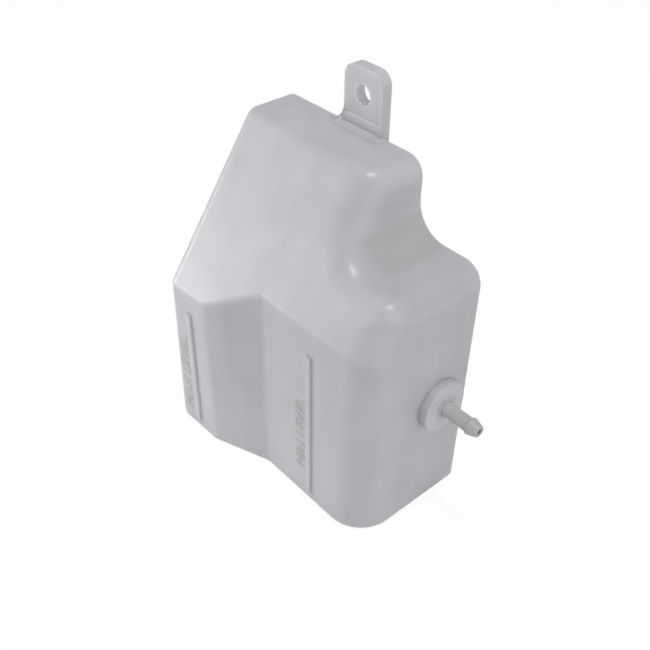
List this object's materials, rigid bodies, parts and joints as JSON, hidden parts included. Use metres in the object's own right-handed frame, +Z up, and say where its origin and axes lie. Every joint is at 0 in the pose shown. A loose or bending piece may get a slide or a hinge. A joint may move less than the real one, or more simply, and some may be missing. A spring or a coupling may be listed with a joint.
{
  "type": "coolant expansion tank",
  "caption": "Hollow moulded coolant tank with a sloping front, stepped shoulder, holed mounting tab, hose barb outlet and side filler with screw cap.",
  "frame": {"origin": "on the base plane, midway between the right front flat and the back, and midway across the tank", "axes": "+Z up as the tank lies on its base, +X to the hose barb, +Y to the back face; the filler is on the -X face"},
  "size_m": [0.2172, 0.0994, 0.2368],
  "materials": {
    "tank": "natural translucent polyethylene, satin",
    "fitting": "satin",
    "cap": "matt",
    "seal": "matt"
  },
  "bodies": {
    "tank": {"tank_shell": "tank", "outlet_barb": "fitting"},
    "seal": {"cap_seal": "seal"},
    "cap": {"filler_cap": "cap"}
  },
  "joints": [
    {"name": "cap_lift", "type": "slide", "parent": "tank", "child": "seal", "axis": [-1, 0, 0], "range_m": [0, 0.007]},
    {"name": "cap_turn", "type": "hinge", "parent": "seal", "child": "cap", "pos_m": [-0.101, 0, 0.04], "axis": [-1, 0, 0], "range_deg": [0, 540]}
  ],
  "couplings": [
    {"joint": "cap_lift", "follows": "cap_turn", "m_per_rad": 0.00063662}
  ]
}
